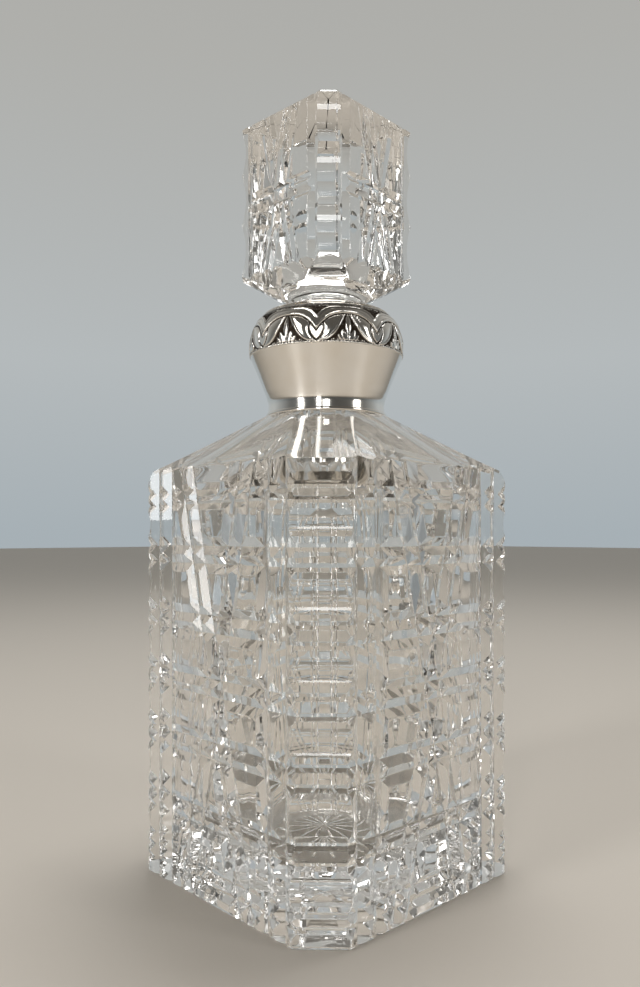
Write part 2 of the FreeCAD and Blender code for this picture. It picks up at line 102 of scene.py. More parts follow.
def octagon_ring(half, leg, face_in, corner_in, z, per_side=PER_SIDE, ease_edge=0.34):
    """An octagon whose eight corners are eased by a small three-chord arc, as a polished edge is."""
    corners = [Vector(c) for c in octagon_corners(half, leg, face_in, corner_in)]
    ring = []
    radius = ease_edge / math.tan(math.radians(22.5))
    for i in range(8):
        v0, v1 = corners[i], corners[(i + 1) % 8]
        along = (v1 - v0).normalized()
        out = Vector((along.y, -along.x))
        start, stop = v0 + along * ease_edge, v1 - along * ease_edge

        def arc(base, turn):
            centre = base - out * radius
            c, s = math.cos(turn), math.sin(turn)
            return centre + Vector((out.x * c - out.y * s, out.x * s + out.y * c)) * radius
        tip = 1.0 / math.cos(math.radians(7.5))
        ring.append((*arc(start, math.radians(-15.0)), z))
        for k in range(per_side - 2):
            p = start + (stop - start) * (k / (per_side - 3))
            ring.append((p.x, p.y, z))
        ring.append((*arc(stop, math.radians(15.0)), z))
    return ring


def circle_ring(radius, z, per_side=PER_SIDE, half=HALF, leg=LEG):
    """A circle sampled so that each point faces the matching point of the octagon ring, evenly enough to join."""
    ring = []
    for i in range(8):
        start = math.radians(-22.5 + 45.0 * i)
        for k in range(per_side):
            a = start + math.radians(45.0) * k / per_side
            ring.append((radius * math.cos(a), radius * math.sin(a), z))
    return ring


def blend_ring(a, b, f, z):
    return [(p[0] + (q[0] - p[0]) * f, p[1] + (q[1] - p[1]) * f, z) for p, q in zip(a, b)]


def vee(start, end, outward, depth, half_width, above=0.7, lip=0.20):
    """A wheel's V cut as a prism; its two edges are eased, as polishing leaves them."""
    start, end, outward = Vector(start), Vector(end), Vector(outward)
    along = (end - start).normalized()
    side = outward.cross(along).normalized()
    rise = depth / half_width
    half = [(half_width - lip, -rise * lip), (half_width + 0.10 * lip, -rise * lip * 0.36), (half_width + 1.15 * lip, 0.005),
            (half_width + 1.15 * lip, above)]
    section = [(0.0, -depth)] + half + [(-w, h) for w, h in reversed(half)]
    n = len(section)
    verts = [start + side * w + outward * h for w, h in section] + [end + side * w + outward * h for w, h in section]
    faces = [tuple(range(n)), tuple(reversed(range(n, 2 * n)))] + [(i, i + n, (i + 1) % n + n, (i + 1) % n) for i in range(n)]
    return verts, faces


def cut(obj, vees):
    """Takes a group of V prisms, none of which meets another, out of the solid."""
    verts, faces = [], []
    for vs, fs in vees:
        base = len(verts)
        verts += [(v.x * MM, v.y * MM, v.z * MM) for v in vs]
        faces += [tuple(base + i for i in f) for f in fs]
    tool = new_object("cut_tool", verts, faces)
    bm = bmesh.new()
    bm.from_mesh(tool.data)
    bmesh.ops.recalc_face_normals(bm, faces=bm.faces)
    bm.to_mesh(tool.data)
    bm.free()
    mod = obj.modifiers.new("cut", "BOOLEAN")
    mod.operation = "DIFFERENCE"
    mod.solver = "MANIFOLD"
    mod.object = tool
    bpy.context.view_layer.update()
    graph = bpy.context.evaluated_depsgraph_get()
    mesh = bpy.data.meshes.new_from_object(obj.evaluated_get(graph))
    obj.modifiers.clear()
    old = obj.data
    obj.data = mesh
    bpy.data.meshes.remove(old)
    bpy.data.objects.remove(tool)


def quarter(k):
    c, s = [(1, 0), (0, 1), (-1, 0), (0, -1)][k]
    return lambda x, y: (x * c - y * s, x * s + y * c)


def finish_glass(obj, angle=16.5, weigh=True):
    """Flat cuts stay flat, eased edges and hollows shade smoothly, and crisp where two cuts meet."""
    bm = bmesh.new()
    bm.from_mesh(obj.data)
    bmesh.ops.remove_doubles(bm, verts=bm.verts, dist=1e-7)
    bmesh.ops.dissolve_degenerate(bm, dist=1e-7, edges=bm.edges)
    for f in bm.faces:
        f.smooth = True
    limit = math.radians(angle)
    for e in bm.edges:
        e.smooth = not (len(e.link_faces) != 2 or e.calc_face_angle(0.0) > limit)
    bm.to_mesh(obj.data)
    bm.free()
    obj.data.update()
    if weigh:
        mod = obj.modifiers.new("weigh", "WEIGHTED_NORMAL")
        mod.mode = "FACE_AREA"
        mod.weight = 70
        mod.keep_sharp = True
        bpy.context.view_layer.update()
        mesh = bpy.data.meshes.new_from_object(obj.evaluated_get(bpy.context.evaluated_depsgraph_get()))
        obj.modifiers.clear()
        old = obj.data
        obj.data = mesh
        bpy.data.meshes.remove(old)


# ------------------------------------------------------------------ the bottle
def belt_levels(with_top):
    levels = [(0.0, 1.1, 1.1), (0.35, 0.45, 0.45), (0.9, 0.10, 0.10), (1.3, 0.0, 0.0)]
    lip = 0.22
    for index, (centre, pitch, depth, corner_depth, corner_half) in enumerate(BELTS):
        start = centre - pitch
        rise, steep, fine = depth / (pitch / 2), corner_depth / corner_half, 0.15
        if index:
            before = levels[-1][0]
            steps = 11
            for k in range(1, steps):
                f = k / steps
                levels.append((before + (start - 1.2 * lip - before) * f, 0.0, HOLLOW * math.sin(math.pi * f) ** 0.8))
        face = [(start - 1.2 * lip, 0.0), (start + 0.1 * lip, rise * lip * 0.36), (start + lip, rise * lip), (centre - pitch / 2, depth),
                (centre - lip, rise * lip), (centre - 0.35 * lip, rise * lip * 0.5), (centre + 0.35 * lip, rise * lip * 0.5),
                (centre + lip, rise * lip), (centre + pitch / 2, depth),
                (centre + pitch - lip, rise * lip), (centre + pitch - 0.1 * lip, rise * lip * 0.36), (centre + pitch + 1.2 * lip, 0.0)]
        # the same two grooves cross the chamfer narrower, with a plain ridge between them
        corner = []
        for groove in (centre - pitch / 2, centre + pitch / 2):
            away = [(corner_half + 1.2 * fine, 0.0), (corner_half - 0.1 * fine, steep * fine * 0.36), (corner_half - fine, steep * fine)]
            corner += [(groove - w, d) for w, d in away] + [(groove, corner_depth)] + [(groove + w, d) for w, d in reversed(away)]
        for z in sorted({round(z, 5) for z, _ in face + corner}):
            levels.append((z, float(np.interp(z, *zip(*face))), float(np.interp(z, *zip(*corner)))))
    if with_top:
        lean = (SHOULDER_LEG - LEG) / math.sqrt(2)
        foot = WALL_TOP - LEAN_HEIGHT
        for z, share in ((foot - 0.5, 0.0), (foot - 0.1, 0.012), (foot + 0.35, 0.10), (foot + 1.2, 0.30), (foot + 2.4, 0.62), (WALL_TOP - 0.35, 0.905)):
            levels.append((z, 0.0, lean * share))
    return levels


def rounded_square_ring(half, corner, z):
    """The hollow's section, sampled to match the outer rings: three quarters of each pair of sides on the corner."""
    ring = []
    b = half - corner
    for i in range(4):
        turn = quarter(i)
        for k in range(PER_SIDE):
            f = k / PER_SIDE
            ring.append((*turn(half, -b + 2 * b * f), z))
        for k in range(PER_SIDE):
            a = math.radians(90.0) * k / PER_SIDE
            ring.append((*turn(b + corner * math.cos(a), b + corner * math.sin(a)), z))
    return ring


def build_bottle():
    rings = [octagon_ring(HALF, LEG, f, c, z) for z, f, c in belt_levels(True)]
    lean = (SHOULDER_LEG - LEG) / math.sqrt(2)
    edge = octagon_ring(HALF, LEG, 0.0, lean, WALL_TOP)
    top = circle_ring(21.4, 152.2)
    rings.append(octagon_ring(HALF, LEG, 0.12, lean + 0.12, WALL_TOP + 0.1))
    steps = 26
    for k in range(steps + 1):
        f = 0.012 + (1 - 0.012) * k / steps
        # the skin rises nearly straight to the neck, a touch hollow, and its hips soften on the way
        z = WALL_TOP + (152.2 - WALL_TOP) * (f ** 1.04)
        g = f
        ring = []
        for p, q in zip(edge, top):
            ring.append((p[0] + (q[0] - p[0]) * g, p[1] + (q[1] - p[1]) * g, z))
        rings.append(ring)
    rings.append(circle_ring(20.9, 152.2))
    rings.append(circle_ring(17.9, 152.2))
    rings.append(circle_ring(17.5, 152.7))
    rings.append(circle_ring(17.5, 185.6))
    rings.append(circle_ring(16.7, 186.3))
    rings.append(circle_ring(12.8, 186.3))
    rings.append(circle_ring(12.15, 185.8))
    for z in (180.0, 170.0, 160.0, 157.0):
        rings.append(circle_ring(10.9 + (z - 157.0) / 29.4 * 1.25, z))
    rings.append(circle_ring(11.3, 154.6))
    rings.append(circle_ring(12.6, 150.0))
    inner_top = rounded_square_ring(CAVITY_HALF, CAVITY_CORNER, 126.0)
    throat = circle_ring(12.6, 150.0)
    steps = 18
    for k in range(1, steps + 1):
        f = k / steps
        z = 150.0 - 24.0 * f
        z -= 1.6 * math.sin(math.pi * f)
        rings.append(blend_ring(throat, inner_top, f ** 0.92, z))
    for z in (122.0, 100.0, 75.0, 50.0, 35.0):
        rings.append(rounded_square_ring(CAVITY_HALF, CAVITY_CORNER, z))
    for k in range(0, 11):
        a = math.radians(90.0) * k / 10
        inset = 7.0 * (1 - math.cos(a))
        rings.append(rounded_square_ring(CAVITY_HALF - inset, CAVITY_CORNER - inset, 23.0 - 7.0 * math.sin(a)))
    rings.append(rounded_square_ring(20.0, 10.0, 15.9))
    rings.append(rounded_square_ring(8.0, 5.0, 15.8))
    body = rings_to_object("glass_body_cut", rings)
    near, far, cross = [], [], {}
    for k in range(4):
        turn = quarter(k)
        outward = (*turn(0, -1), 0)

        def at(u, z):
            x, y = turn(u, -HALF)
            return (x, y, z)
        edge_u = HALF - LEG
        for sign in (-1, 1):
            near.append(vee(at(sign * (edge_u - NEAR_AT), -3), at(sign * (edge_u - NEAR_AT), 138.6), outward, UPRIGHT_DEPTH, UPRIGHT_HALF))
            far.append(vee(at(sign * (edge_u - FAR_AT), -3), at(sign * (edge_u - FAR_AT), 138.6), outward, UPRIGHT_DEPTH, UPRIGHT_HALF))
            for offset in (-CROSS_OFFSET, CROSS_OFFSET):
                top_u, bottom_u = sign * CROSS_TOP + offset, -sign * CROSS_TOP + offset
                slope = (top_u - bottom_u) / WALL_TOP
                cross.setdefault((sign, offset), []).append(
                    vee(at(bottom_u - slope * 3, -3), at(bottom_u + slope * 138.6, 138.6), outward, CROSS_DEPTH, CROSS_HALF))
    cut(body, near)
    cut(body, far)
    for group in cross.values():
        cut(body, group)
    for line in range(STAR_LINES):
        a = math.radians(180.0 * (line + 0.5) / STAR_LINES)
        tip = Vector((math.cos(a), math.sin(a), 0)) * STAR_RADIUS
        cut(body, [vee(-tip, tip, (0, 0, -1), STAR_DEPTH, STAR_HALF)])
    finish_glass(body)
    return body


# ------------------------------------------------------------------ the stopper
STOP_HALF, STOP_LEG, STOP_BOTTOM, STOP_TOP = 22.3, 4.2, 199.6, 250.0


def build_stopper():
    rise = STOP_TOP - STOP_BOTTOM
    bevel = 0.8
    ridges = [STOP_BOTTOM + bevel, STOP_BOTTOM + rise * 0.345, STOP_BOTTOM + rise * 0.68, STOP_TOP - bevel]
    levels = [(STOP_BOTTOM, 0.0, 0.0), (ridges[0], 0.0, 0.0)]
    for before, after in zip(ridges[:-1], ridges[1:]):
        for k in range(1, 14):
            f = k / 14
            levels.append((before + (after - before) * f, 0.0, 1.35 * math.sin(math.pi * f) ** 0.8))
        levels.append((after, 0.0, 0.0))
    levels.append((STOP_TOP, bevel, bevel))
    rings = []
    # shank and waist, from the bottom up
    for r, z in ((2.0, 160.0), (9.9, 160.0), (10.9, 161.2), (11.2, 168.0), (11.6, 177.0), (12.03, 186.4),
                 (12.15, 188.0), (12.4, 190.4), (12.9, 191.4), (13.8, 192.2), (15.6, 193.2), (18.2, 194.4)):
        rings.append(circle_ring(r, z))
    low = circle_ring(18.2, 194.4)
    high = octagon_ring(STOP_HALF, STOP_LEG, 0.0, 0.0, STOP_BOTTOM)
    steps = 12
    for k in range(1, steps):
        f = k / steps
        rings.append(blend_ring(low, high, f, 194.4 + (STOP_BOTTOM - 194.4) * f))
    rings += [octagon_ring(STOP_HALF, STOP_LEG, f, c, z, ease_edge=0.24) for z, f, c in levels]
    rings.append(octagon_ring(STOP_HALF, STOP_LEG, 8.0, 8.0, STOP_TOP))
    stop = rings_to_object("stopper_cut", rings)
    upright, cross = [], {}
    belts = {-0.5: [], 0.5: []}
    for k in range(4):
        turn = quarter(k)
        outward = (*turn(0, -1), 0)

        def at(u, z):
            x, y = turn(u, -STOP_HALF)
            return (x, y, z)
        for sign in (-1, 1):
            u = sign * (STOP_HALF - STOP_LEG - 2.95)
            upright.append(vee(at(u, 196.6), at(u, 253.0), outward, 1.20, 2.4, lip=0.15))
            for offset in (-2.2, 2.2):
                cross.setdefault((sign, offset), []).append(
                    vee(at(-sign * 6.6 + offset, 196.6), at(sign * 6.6 + offset, 253.0), outward, 0.70, 1.45, lip=0.13))
        reach = STOP_HALF - STOP_LEG - 5.4 + 1.2
        for shift in belts:
            z = 222.8 + shift * 4.4
            belts[shift].append(vee(at(-reach, z), at(reach, z), outward, 0.80, 1.65, lip=0.13))
    cut(stop, upright)
    for group in cross.values():
        cut(stop, group)
    for group in belts.values():
        cut(stop, group)
    stop.data.transform(Matrix.Rotation(math.radians(3.0), 4, "Z"))
    finish_glass(stop)
    return stop


# ------------------------------------------------------------------ the silver collar
def smooth_profile(points, count):
    """Points evenly spaced along a centripetal curve through the given (radius, height) pairs."""
    p = np.array(points, float)
    ends = np.vstack([2 * p[0] - p[1], p, 2 * p[-1] - p[-2]])
    dense = []
    for i in range(len(p) - 1):
        a, b, c, d = ends[i:i + 4]
        ta = 0.0
        tb = ta + max(np.linalg.norm(b - a), 1e-6) ** 0.5
        tc = tb + max(np.linalg.norm(c - b), 1e-6) ** 0.5
        td = tc + max(np.linalg.norm(d - c), 1e-6) ** 0.5
        t = np.linspace(tb, tc, 40, endpoint=i == len(p) - 2)[:, None]
        ab = (tb - t) / (tb - ta) * a + (t - ta) / (tb - ta) * b
        bc = (tc - t) / (tc - tb) * b + (t - tb) / (tc - tb) * c
        cd = (td - t) / (td - tc) * c + (t - tc) / (td - tc) * d
        abc = (tc - t) / (tc - ta) * ab + (t - ta) / (tc - ta) * bc
        bcd = (td - t) / (td - tb) * bc + (t - tb) / (td - tb) * cd
        dense.append((tc - t) / (tc - tb) * abc + (t - tb) / (tc - tb) * bcd)
    dense = np.vstack(dense)
    run = np.concatenate([[0], np.cumsum(np.linalg.norm(np.diff(dense, axis=0), axis=1))])
    at = np.linspace(0, run[-1], count)
    return np.stack([np.interp(at, run, dense[:, 0]), np.interp(at, run, dense[:, 1])], 1)


def lathe_object(name, profile, around=288, smooth=True, sharp=35.0):
    """Turns a closed (radius, height) profile about the axis."""
    rings = []
    for r, z in profile:
        rings.append([(r * math.cos(2 * math.pi * i / around), r * math.sin(2 * math.pi * i / around), z) for i in range(around)])
    obj = rings_to_object(name, rings, closed_profile=True)
    finish_glass(obj, angle=sharp, weigh=False)
    return obj


def polyline_distance(px, py, pts):
    best = np.full(px.shape, 1e9)
    for (x0, y0), (x1, y1) in zip(pts[:-1], pts[1:]):
        dx, dy = x1 - x0, y1 - y0
        t = np.clip(((px - x0) * dx + (py - y0) * dy) / max(dx * dx + dy * dy, 1e-12), 0, 1)
        best = np.minimum(best, np.hypot(px - x0 - t * dx, py - y0 - t * dy))
    return best


def inside(px, py, pts):
    hit = np.zeros(px.shape, bool)
    loop = list(pts) + [pts[0]]
    for (x0, y0), (x1, y1) in zip(loop[:-1], loop[1:]):
        cross = (y0 > py) != (y1 > py)
        hit ^= cross & (px < (x1 - x0) * (py - y0) / ((y1 - y0) if y1 != y0 else 1e-12) + x0)
    return hit


def ease(x):
    x = np.clip(x, 0, 1)
    return x * x * (3 - 2 * x)


BAND_REPEATS = 8
BAND_HALF_COLUMNS = 54
BAND_ROWS = 89
BAND_WIDE, BAND_LONG = 20.4, 15.3
BAND_OUTER = [(26.1, 172.6), (26.3, 173.4), (26.3, 177.6), (25.5, 180.8), (24.4, 183.6), (23.2, 185.2), (21.6, 186.4)]


def low_line(u):
    return 0.64 - 0.37 * (1 - 2 * u) ** 2.8


def high_line(u):
    return 0.83 - 0.24 * (1 - 2 * u) ** 4.2


def band_relief():
    """Half a repeat of the embossed border, from a cusp (u = 0) to an arch's crown (u = 0.5): depth below the full
    surface in mm, and how much dark oxide lies in it."""
    u = np.linspace(0, 0.5, BAND_HALF_COLUMNS + 1)[None, :].repeat(BAND_ROWS, 0)
    v = np.linspace(0, 1, BAND_ROWS)[:, None].repeat(BAND_HALF_COLUMNS + 1, 1)
    x, y = u * BAND_WIDE, v * BAND_LONG

    def mm(points):
        return [(a * BAND_WIDE, b * BAND_LONG) for a, b in points]
    line_u = np.linspace(0, 0.5, 40)
    low = mm([(a, low_line(a)) for a in line_u])
    high = mm([(a, high_line(a)) for a in line_u])
    rng = np.random.default_rng(7)

    # the matted ground behind everything
    h = np.full(x.shape, -0.72)
    spots = rng.uniform((0, 0), (0.5 * BAND_WIDE, BAND_LONG), (470, 2))
    near = np.full(x.shape, 9.0)
    for sx, sy in spots:
        near = np.minimum(near, np.hypot(x - sx, y - sy))
    h += 0.36 * ease(1 - near / 0.28)

    def lay(mask_distance, height, blend=0.22):
        """Raises a shape whose signed distance (positive inside) is given."""
        f = ease(mask_distance / blend + 0.5)
        return h * (1 - f) + np.maximum(height, h) * f

    def signed(pts):
        d = polyline_distance(x, y, list(pts) + [pts[0]])
        return np.where(inside(x, y, pts), d, -d)

    def petal(base, tip, half, height, blend=0.16):
        (bx, by), (tx, ty) = mm([base, tip])
        length = math.hypot(tx - bx, ty - by)
        ax, ay = (tx - bx) / length, (ty - by) / length
        along = ((x - bx) * ax + (y - by) * ay) / length
        across = np.abs((x - bx) * -ay + (y - by) * ax)
        width = half * np.sqrt(np.clip(np.sin(math.pi * np.clip(along, 0, 1) ** 0.8), 0, 1))
        d = np.where((along > 0) & (along < 1), width - across, -9.0)
        dome = height + 0.30 * np.sqrt(np.clip(1 - (across / np.maximum(width, 1e-3)) ** 2, 0, 1)) - 0.30
        return lay(d, dome, blend)

    # beads along the foot of the border
    for k in range(9):
        bx = (0.235 + 0.0325 * k) * BAND_WIDE
        by = (0.058 + 0.012 * math.sin(k * 2.3)) * BAND_LONG
        r = 0.31
        d = r - np.hypot(x - bx, y - by)
        h = lay(d, -0.62 + 0.42 * np.sqrt(np.clip(1 - (np.hypot(x - bx, y - by) / r) ** 2, 0, 1)), 0.12)
    # petals either side of the bud, and the bud itself with its seed-like stipple
    h = petal((0.40, 0.05), (0.335, 0.17), 0.62, -0.14)
    h = petal((0.450, 0.045), (0.402, 0.27), 0.84, -0.06)
    h = petal((0.482, 0.05), (0.462, 0.20), 0.50, -0.12)
    bud = (0.5 * BAND_WIDE, 0.36 * BAND_LONG)
    t = np.clip((v - 0.13) / 0.49, 0, 1)
    bud_width = 0.86 * np.sin(math.pi * t ** 0.85) ** 0.75
    across = np.abs(x - bud[0])
    d = np.where((v > 0.13) & (v < 0.62), bud_width - across, -9.0)
    seeds = 0.5 + 0.5 * np.sin(2 * math.pi * (y / 0.62 + across / 0.9)) * np.sin(2 * math.pi * (y / 0.62 - across / 0.9))
    h = lay(d, -0.30 + 0.24 * np.sqrt(np.clip(1 - (across / np.maximum(bud_width, 1e-3)) ** 2, 0, 1)) - 0.17 * seeds, 0.14)

    # leaf: a raised rim along the outer edge, a dished blade, and fine veins towards the tip
    outer = [(0.012, 0.03), (0.07, 0.027), (0.125, 0.034), (0.18, 0.06), (0.225, 0.10), (0.27, 0.155), (0.315, 0.23),
             (0.355, 0.32), (0.392, 0.41), (0.425, 0.50), (0.452, 0.57), (0.476, 0.618)]
    inner = [(a, low_line(a) - 0.030) for a in np.linspace(0.47, 0.140, 20)]
    shield_side = [(0.116, 0.42), (0.125, 0.345), (0.120, 0.262), (0.098, 0.172), (0.058, 0.095)]
    leaf = mm(outer + inner + shield_side)
    d = signed(leaf)
    rim = polyline_distance(x, y, mm(outer))
    back = polyline_distance(x, y, mm(inner + shield_side))
    t = rim / (rim + back + 1e-6)
    blade = -0.30 + 0.17 * np.sin(math.pi * np.clip((t - 0.18) / 0.82, 0, 1)) ** 0.9
    blade += 0.26 * np.exp(-((rim - 0.40) / 0.27) ** 2)
    fall = x * 0.62 + y * 0.78
    veins = np.sin(2 * math.pi * (fall + 0.25 * np.sin(x * 1.3)) / 0.60)
    blade += 0.050 * veins * ease((v - 0.38) / 0.14) * ease((rim - 0.75) / 0.4) * ease((back - 0.12) / 0.25)
    h = lay(d, blade)

    # the plain shield that stands between two leaves
    shield = mm([(-0.02, 0.045), (0.035, 0.098), (0.080, 0.178), (0.102, 0.262), (0.108, 0.335), (0.100, 0.392)]
                + [(a, low_line(a) - 0.030) for a in np.linspace(0.090, 0.0, 8)] + [(-0.02, low_line(0) - 0.030)])
    d = signed(shield)
    h = lay(d, -0.18 + x ** 2 / 54.0 - 0.06 * (1 - ease(d / 0.30)))

    # the arched moulding, a bead along each edge and a shallow channel between them
    above_low = np.where(v > low_line(u), 1, -1) * polyline_distance(x, y, low)
    below_high = np.where(v < high_line(u), 1, -1) * polyline_distance(x, y, high)
    d = np.minimum(above_low, below_high)
    arch = -0.27 + 0.25 * np.exp(-((above_low - 0.40) / 0.30) ** 2) + 0.27 * np.exp(-((below_high - 0.42) / 0.32) ** 2)
    centre = np.clip(above_low / (above_low + below_high + 1e-6), 0, 1)
    arch += 0.07 * np.sin(math.pi * centre)
    h = lay(d, arch, 0.20)

    # plain edges: a narrow wavering bead at the crease and a flat rim under the lip
    h = lay(0.30 - np.abs(y - 0.26 - 0.05 * np.sin(x * 5.1)), -0.10 + 0.10 * np.cos(x * 6.2), 0.16)
    h = lay(y - 0.935 * BAND_LONG, np.full(x.shape, -0.04), 0.22)
    h *= ease((y + 0.25) / 0.45) * 0.35 + 0.65
    h[0, :] = -0.12
    h[-1, :] = 0.0
    h = np.clip(h, -0.75, 0.0)

    # oxide gathers in what lies low and in narrow grooves
    pad = np.pad(h, 3, mode="reflect")
    mean = np.zeros_like(h)
    for i in range(7):
        for j in range(7):
            mean += pad[i:i + h.shape[0], j:j + h.shape[1]]
    mean /= 49.0
    dark = np.clip((-0.27 - h) / 0.22, 0, 1) * 0.85 + np.clip((mean - h - 0.02) / 0.10, 0, 1) * 0.9
    return h, np.clip(dark, 0, 1)


def build_band():
    relief, dark = band_relief()
    half = BAND_HALF_COLUMNS
    around = BAND_REPEATS * 2 * half
    outer = smooth_profile(BAND_OUTER, BAND_ROWS)
    step = np.gradient(outer, axis=0)
    normal = np.stack([step[:, 1], -step[:, 0]], 1)
    normal /= np.linalg.norm(normal, axis=1)[:, None]
    # a cusp faces 6.9 degrees to the left of the corner that looks at azimuth 46.4
    start = math.radians(-90.0 + 46.4 - 6.9)
    angles = start + np.arange(around) * (2 * math.pi / around)
    column = np.arange(around) % (2 * half)
    column = np.where(column <= half, column, 2 * half - column)
    rings, marks = [], []
    for row in range(BAND_ROWS):
        depth = relief[row, column]
        r = outer[row, 0] + normal[row, 0] * depth
        z = outer[row, 1] + normal[row, 1] * depth
        rings.append(list(zip(r * np.cos(angles), r * np.sin(angles), z)))
        marks.append(dark[row, column])
    inner = smooth_profile([(21.4, 186.4), (22.3, 185.3), (23.5, 182.6), (24.5, 180.2), (25.1, 177.4), (25.1, 174.2), (25.1, 172.6)], 9)
    for r, z in inner:
        rings.append(list(zip(r * np.cos(angles), r * np.sin(angles), np.full(around, z))))
        marks.append(np.zeros(around))
    obj = rings_to_object("collar_band_embossed", rings, closed_profile=True)
    layer = obj.data.attributes.new("oxide", "FLOAT", "POINT")
    layer.data.foreach_set("value", np.concatenate(marks).astype(np.float32))
    for p in obj.data.polygons:
        p.use_smooth = True
    return obj


SKIRT_OUTER = [(19.9, 153.7), (19.8, 156.6), (20.45, 159.2), (21.4, 161.8), (23.7, 167.5), (25.9, 172.6)]


def build_skirt():
    outer = smooth_profile(SKIRT_OUTER, 44)
    outer[:, 0] = np.minimum(outer[:, 0], 25.9)
    inner = smooth_profile([(r - 0.78, z) for r, z in SKIRT_OUTER], 14)[::-1]
    return lathe_object("collar_skirt_spun", [tuple(p) for p in outer] + [tuple(p) for p in inner], around=320)


def build_foot_wire():
    centre_r, centre_z, rr, rz = 19.8, 152.99, 0.79, 0.70
    profile = []
    for k in range(20):
        a = 2 * math.pi * k / 20
        ca, sa = math.cos(a), math.sin(a)
        profile.append((centre_r + rr * math.copysign(abs(ca) ** 0.8, ca), centre_z + rz * math.copysign(abs(sa) ** 0.8, sa)))
    return lathe_object("collar_foot_ring", profile, around=288)


def build_lip():
    outer = [(21.6, 186.42), (21.45, 186.8), (20.9, 187.15), (20.2, 187.3), (19.85, 187.38), (19.7, 187.6), (19.1, 187.86),
             (18.0, 188.1), (16.7, 188.28), (15.3, 188.3), (14.3, 188.28), (13.5, 188.0), (13.15, 187.5), (13.1, 186.9), (13.1, 186.42)]
    dense = smooth_profile(outer, 52)
    return lathe_object("collar_lip_turned", [tuple(p) for p in dense] + [(16.0, 186.42), (19.0, 186.42)], around=288)


def build_bedding():
    out = [(19.05, 153.75), (18.95, 156.6), (19.6, 159.2), (20.5, 161.8), (22.8, 167.5), (25.0, 172.6), (25.0, 174.0), (24.6, 177.2),
           (24.0, 180.3), (23.0, 182.9), (21.9, 184.9), (20.9, 186.35)]
    outer = smooth_profile(out, 30)
    inner = [(17.62, 186.35), (17.62, 175.0), (17.62, 164.0), (17.62, 153.75)]
    return lathe_object("bedding_plaster_cast", [tuple(p) for p in outer] + inner, around=160)


# ------------------------------------------------------------------ materials
def node_material(name):
    mat = bpy.data.materials.new(name)
    mat.use_nodes = True
    nodes, links = mat.node_tree.nodes, mat.node_tree.links
    nodes.clear()
    out = nodes.new("ShaderNodeOutputMaterial")
    shader = nodes.new("ShaderNodeBsdfPrincipled")
    links.new(shader.outputs["BSDF"], out.inputs["Surface"])
    return mat, nodes, links, shader


def glass_material(name, seat_low, seat_high, chamfer_reach):
    mat, nodes, links, shader = node_material(name)
    shader.inputs["Transmission Weight"].default_value = 1.0
    shader.inputs["IOR"].default_value = 1.54
    coords = nodes.new("ShaderNodeTexCoord")
    cloud = nodes.new("ShaderNodeTexNoise")
    cloud.inputs["Scale"].default_value = 38.0
    cloud.inputs["Detail"].default_value = 4.0
    links.new(coords.outputs["Object"], cloud.inputs["Vector"])
    tint = nodes.new("ShaderNodeValToRGB")
    tint.color_ramp.elements[0].position = 0.3
    tint.color_ramp.elements[0].color = (0.955, 0.94, 0.915, 1)
    tint.color_ramp.elements[1].position = 0.75
    tint.color_ramp.elements[1].color = (0.975, 0.965, 0.945, 1)
    links.new(cloud.outputs["Fac"], tint.inputs["Fac"])
    links.new(tint.outputs["Color"], shader.inputs["Base Color"])
    # polished everywhere but the ground seat
    split = nodes.new("ShaderNodeSeparateXYZ")
    links.new(coords.outputs["Object"], split.inputs["Vector"])
    low = nodes.new("ShaderNodeMath")
    low.operation = "GREATER_THAN"
    low.inputs[1].default_value = seat_low * MM
    links.new(split.outputs["Z"], low.inputs[0])
    high = nodes.new("ShaderNodeMath")
    high.operation = "LESS_THAN"
    high.inputs[1].default_value = seat_high * MM
    links.new(split.outputs["Z"], high.inputs[0])
    seat = nodes.new("ShaderNodeMath")
    seat.operation = "MULTIPLY"
    links.new(low.outputs[0], seat.inputs[0])
    links.new(high.outputs[0], seat.inputs[1])
    rough = nodes.new("ShaderNodeMath")
    rough.operation = "MULTIPLY"
    rough.inputs[1].default_value = 0.28
    links.new(seat.outputs[0], rough.inputs[0])
    links.new(rough.outputs[0], shader.inputs["Roughness"])
    # the faint waviness of fire-polished crystal
    wave = nodes.new("ShaderNodeTexNoise")
    wave.inputs["Scale"].default_value = 90.0
    wave.inputs["Detail"].default_value = 1.0
    links.new(coords.outputs["Object"], wave.inputs["Vector"])
    bump = nodes.new("ShaderNodeBump")
    bump.inputs["Strength"].default_value = 0.05
    bump.inputs["Distance"].default_value = 0.0004
    links.new(wave.outputs["Fac"], bump.inputs["Height"])
    # and the upright hair-fine streaks the stone leaves in the chamfers' hollows
    stretch = nodes.new("ShaderNodeVectorMath")
    stretch.operation = "MULTIPLY"
    stretch.inputs[1].default_value = (1900.0, 1900.0, 42.0)
    links.new(coords.outputs["Object"], stretch.inputs[0])
    streak = noise(nodes, links, stretch.outputs["Vector"], 1.0, 2.0)
    reach = maths(nodes, links, "ADD", maths(nodes, links, "ABSOLUTE", split.outputs["X"]), maths(nodes, links, "ABSOLUTE", split.outputs["Y"]))
    on_chamfer = maths(nodes, links, "GREATER_THAN", reach, chamfer_reach * MM)
    lines = nodes.new("ShaderNodeBump")
    lines.inputs["Strength"].default_value = 0.30
    lines.inputs["Distance"].default_value = 0.000012
    links.new(maths(nodes, links, "MULTIPLY", streak, on_chamfer), lines.inputs["Height"])
    links.new(bump.outputs["Normal"], lines.inputs["Normal"])
    links.new(lines.outputs["Normal"], shader.inputs["Normal"])
    return mat


def assign(obj, mat):
    obj.data.materials.clear()
    obj.data.materials.append(mat)


body = build_bottle()
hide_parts("glass_body")
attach(body, "bottle")
stop = build_stopper()
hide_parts("stopper")
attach(stop, "stopper")


